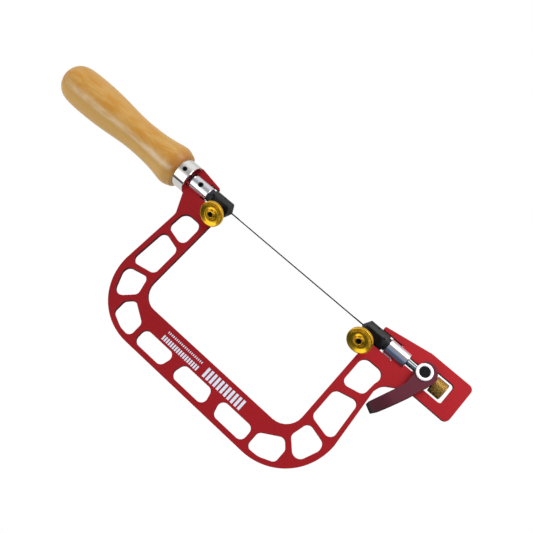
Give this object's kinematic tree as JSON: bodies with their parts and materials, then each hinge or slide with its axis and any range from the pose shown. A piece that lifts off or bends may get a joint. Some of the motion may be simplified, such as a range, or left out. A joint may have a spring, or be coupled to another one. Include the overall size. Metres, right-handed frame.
{
  "type": "coping saw",
  "caption": "Coping saw: flat truss frame, turned wooden handle, thin straight blade in two swivelling clamps with thumb knobs, cam lever and knurled nut for blade tension.",
  "frame": {"origin": "middle of the free blade, on the common swivel axis of both clamps, in the mid-plane of the frame plate", "axes": "+X along the blade toward the handle, +Z from the blade toward the spine, -Y is the side the knobs are on"},
  "size_m": [0.3681, 0.0353, 0.1293],
  "materials": {
    "red_anodised": "satin red anodised, faint grain",
    "nickel": "bright nickel plate",
    "bright_steel": "turned and polished",
    "black_steel": "black oxide",
    "black_anodised": "matt black anodised",
    "gold_anodised": "glossy gold anodised",
    "plum_anodised": "satin dark red anodised",
    "brass": "knurled, bright",
    "maple": "clear lacquer",
    "blade_steel": "blued spring steel",
    "plain_aluminium": "as machined"
  },
  "bodies": {
    "frame": {"frame_plate": "red_anodised", "tang_socket": "plain_aluminium", "ferrule": "nickel", "ferrule_set_screw": "black_steel", "handle_grip": "maple", "heel_barrel": "bright_steel", "heel_barrel_set_screw": "black_steel", "pivot_pin": "black_steel", "pivot_ring_front": "nickel", "pivot_ring_back": "nickel"},
    "heel_clamp": {"heel_clamp_body": "black_anodised", "heel_detent_pin": "bright_steel", "blade": "blade_steel"},
    "heel_pad": {"heel_pressure_pad": "bright_steel"},
    "heel_thumbscrew": {"heel_knob": "gold_anodised", "heel_clamp_screw": "black_steel"},
    "toe_slider": {"toe_barrel": "bright_steel", "toe_barrel_set_screw": "black_steel", "tension_rod": "bright_steel"},
    "brass_nut": {"tension_nut": "brass"},
    "toe_clamp": {"toe_clamp_body": "black_anodised", "toe_detent_pin": "bright_steel"},
    "toe_pad": {"toe_pressure_pad": "bright_steel"},
    "toe_thumbscrew": {"toe_knob": "gold_anodised", "toe_clamp_screw": "black_steel"},
    "lever": {"cam_lever": "plum_anodised"}
  },
  "joints": [
    {"name": "lever_cam", "type": "hinge", "parent": "frame", "child": "lever", "pos_m": [-0.1089, 0, 0], "axis": [0, -1, 0], "range_deg": [0, 115]},
    {"name": "tension_slide", "type": "slide", "parent": "frame", "child": "toe_slider", "axis": [1, 0, 0], "range_m": [0, 0.0015]},
    {"name": "nut_turn", "type": "hinge", "parent": "toe_slider", "child": "brass_nut", "pos_m": [-0.122, 0, 0], "axis": [1, 0, 0], "continuous": true},
    {"name": "heel_swivel", "type": "hinge", "parent": "frame", "child": "heel_clamp", "pos_m": [0.0789, 0, 0], "axis": [1, 0, 0], "range_deg": [0, 270]},
    {"name": "toe_swivel", "type": "hinge", "parent": "toe_slider", "child": "toe_clamp", "pos_m": [-0.0789, 0, 0], "axis": [1, 0, 0], "range_deg": [0, 270]},
    {"name": "heel_pad_slide", "type": "slide", "parent": "heel_clamp", "child": "heel_pad", "axis": [0, -0.7071, 0.7071], "range_m": [0, 0.0014]},
    {"name": "heel_knob_turn", "type": "hinge", "parent": "heel_pad", "child": "heel_thumbscrew", "pos_m": [0.06585, -0.01, 0.01], "axis": [0, -0.7071, 0.7071], "range_deg": [0, 720]},
    {"name": "toe_pad_slide", "type": "slide", "parent": "toe_clamp", "child": "toe_pad", "axis": [0, -0.7071, 0.7071], "range_m": [0, 0.0014]},
    {"name": "toe_knob_turn", "type": "hinge", "parent": "toe_pad", "child": "toe_thumbscrew", "pos_m": [-0.0652, -0.01, 0.01], "axis": [0, -0.7071, 0.7071], "range_deg": [0, 720]}
  ],
  "couplings": [
    {"joint": "tension_slide", "follows": "lever_cam", "m_per_rad": 0.000747},
    {"joint": "toe_swivel", "follows": "heel_swivel", "ratio": 1},
    {"joint": "heel_pad_slide", "follows": "heel_knob_turn", "m_per_rad": 0.0001114},
    {"joint": "toe_pad_slide", "follows": "toe_knob_turn", "m_per_rad": 0.0001114}
  ]
}
